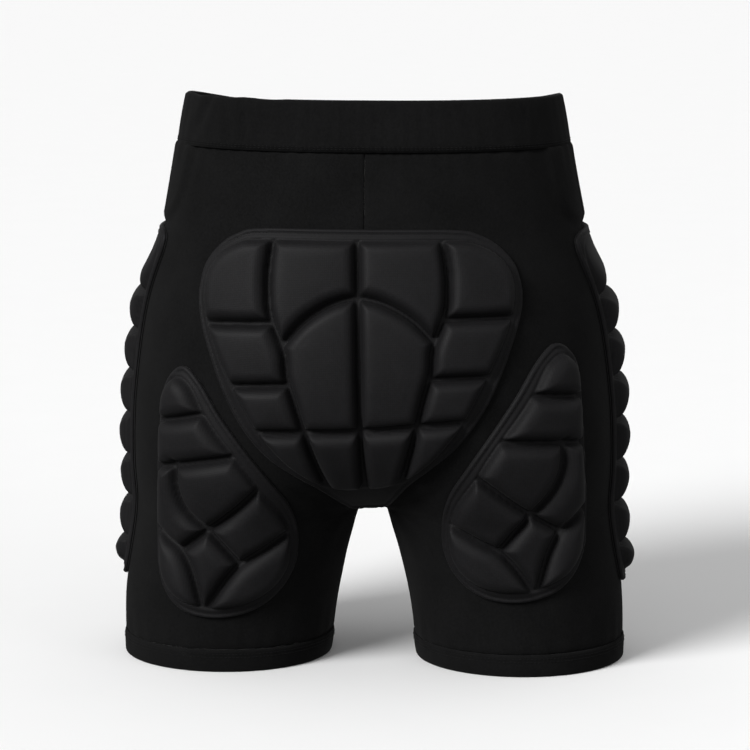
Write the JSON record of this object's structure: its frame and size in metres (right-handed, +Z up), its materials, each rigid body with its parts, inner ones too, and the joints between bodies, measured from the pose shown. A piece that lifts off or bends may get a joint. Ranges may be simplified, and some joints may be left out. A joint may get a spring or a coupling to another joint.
{
  "type": "padded impact shorts",
  "caption": "Stretch shorts with segmented foam impact pads over the seat, rear thighs and sides, worn under ski or snowboard trousers.",
  "frame": {"origin": "middle of the floor under the two leg hems, which the worn-shaped shorts stand on", "axes": "+Z up through the waist, +Y the way the wearer faces, +X to the wearer's right"},
  "size_m": [0.4192, 0.2438, 0.4535],
  "materials": {
    "shell_knit": "matt stretch knit",
    "band_rib": "matt ribbed knit",
    "pad_face": "slightly shiny stretch cloth bonded over foam",
    "pad_backing": "smooth woven cloth",
    "hip_foam": "matt cloth-faced foam",
    "elastic": "woven elastic",
    "label": "plain satin tape"
  },
  "bodies": {
    "root": {"back_panel_left": "shell_knit", "back_panel_right": "shell_knit", "front_panel_left": "shell_knit", "front_panel_right": "shell_knit", "crotch_gusset": "shell_knit", "leg_hem_left": "band_rib", "leg_hem_right": "band_rib", "waistband": "band_rib", "waist_elastic": "elastic", "care_label": "label", "seat_pad_backing": "pad_backing", "seat_block_top_inner_left": "pad_face", "seat_block_top_outer_left": "pad_face", "seat_block_side_upper_left": "pad_face", "seat_block_side_lower_left": "pad_face", "seat_block_centre_left": "pad_face", "seat_block_bottom_inner_left": "pad_face", "seat_block_bottom_outer_left": "pad_face", "seat_block_top_inner_right": "pad_face", "seat_block_top_outer_right": "pad_face", "seat_block_side_upper_right": "pad_face", "seat_block_side_lower_right": "pad_face", "seat_block_centre_right": "pad_face", "seat_block_bottom_inner_right": "pad_face", "seat_block_bottom_outer_right": "pad_face", "thigh_pad_backing_left": "pad_backing", "thigh_block_cap_left": "pad_face", "thigh_block_upper_left": "pad_face", "thigh_block_shield_left": "pad_face", "thigh_block_outer_strip_left": "pad_face", "thigh_block_inner_diamond_left": "pad_face", "thigh_block_lower_diamond_left": "pad_face", "thigh_block_outer_crescent_left": "pad_face", "thigh_block_inner_crescent_left": "pad_face", "thigh_pad_backing_right": "pad_backing", "thigh_block_cap_right": "pad_face", "thigh_block_upper_right": "pad_face", "thigh_block_shield_right": "pad_face", "thigh_block_outer_strip_right": "pad_face", "thigh_block_inner_diamond_right": "pad_face", "thigh_block_lower_diamond_right": "pad_face", "thigh_block_outer_crescent_right": "pad_face", "thigh_block_inner_crescent_right": "pad_face", "side_pad_backing_left": "pad_backing", "side_pad_foam_left": "pad_face", "side_pad_backing_right": "pad_backing", "side_pad_foam_right": "pad_face", "hip_pad_left": "hip_foam", "hip_pad_right": "hip_foam"}
  },
  "joints": []
}
